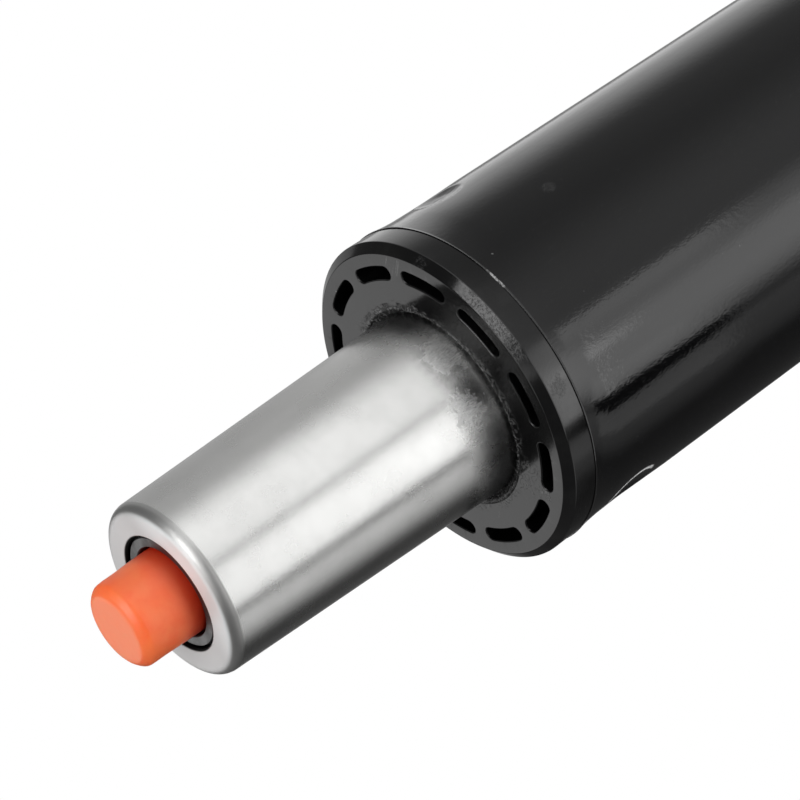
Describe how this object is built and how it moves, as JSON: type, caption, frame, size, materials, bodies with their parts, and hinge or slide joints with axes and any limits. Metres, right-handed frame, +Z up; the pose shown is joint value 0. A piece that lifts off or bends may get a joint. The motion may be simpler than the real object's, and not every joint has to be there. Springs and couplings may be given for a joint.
{
  "type": "chair gas lift cylinder",
  "caption": "Gas lift column for a swivel chair: black tapered tube, guide bush, tapered sliding pressure tube, release button, swivel thrust bearing.",
  "frame": {"origin": "centre of the column's bottom rim, on the plane it stands on", "axes": "+Z up the column's axis, from the base taper to the release button; -Y out between the two crimp dimples, which lie 13 degrees from +X and 10 degrees from -X"},
  "size_m": [0.0508, 0.0508, 0.2933],
  "materials": {
    "black_paint": "gloss black paint",
    "black_plastic": "satin moulded",
    "bare_steel": "satin, finely ground, light oil",
    "orange_plastic": "semi-gloss moulded",
    "valve_metal": "matt turned",
    "zinc_steel": "bright zinc plated",
    "hard_steel": "ground bearing steel",
    "rod_steel": "polished",
    "spring_steel": "oil-blackened",
    "piston_metal": "turned",
    "guide_brass": "turned",
    "black_rubber": "matt",
    "natural_plastic": "natural moulded"
  },
  "bodies": {
    "column": {"outer_tube": "black_paint", "guide_bush": "black_plastic", "base_plate": "zinc_steel", "bearing_lower_race": "hard_steel"},
    "cage": {"bearing_cage": "natural_plastic", "bearing_balls": "hard_steel"},
    "rod": {"piston_rod": "rod_steel", "bearing_upper_race": "hard_steel", "rubber_buffer": "black_rubber", "lock_washer": "zinc_steel", "retaining_clip": "spring_steel", "piston": "piston_metal", "piston_seal": "black_rubber", "piston_washers": "zinc_steel"},
    "cylinder": {"pressure_tube": "bare_steel", "inner_tube": "zinc_steel", "end_plate": "zinc_steel", "rod_guide": "guide_brass", "rod_guide_seal": "black_rubber", "rod_seal": "black_rubber", "seal_plate": "zinc_steel", "stop_sleeve": "natural_plastic", "valve_body": "valve_metal", "valve_body_seals": "black_rubber", "valve_pin_seals": "black_rubber", "pin_retainers": "zinc_steel"},
    "valve": {"valve_pin": "rod_steel", "release_button": "orange_plastic"}
  },
  "joints": [
    {"name": "swivel", "type": "hinge", "parent": "column", "child": "rod", "pos_m": [0, 0, 0.012], "axis": [0, 0, 1], "continuous": true},
    {"name": "bearing_roll", "type": "hinge", "parent": "column", "child": "cage", "pos_m": [0, 0, 0.012], "axis": [0, 0, 1], "continuous": true},
    {"name": "lift", "type": "slide", "parent": "rod", "child": "cylinder", "axis": [0, 0, 1], "range_m": [0, 0.12]},
    {"name": "release", "type": "slide", "parent": "cylinder", "child": "valve", "axis": [0, 0, 1], "range_m": [-0.0045, 0], "stiffness_N_per_m": 4000, "springref_m": 0.005}
  ],
  "couplings": [
    {"joint": "bearing_roll", "follows": "swivel", "ratio": 0.5}
  ]
}
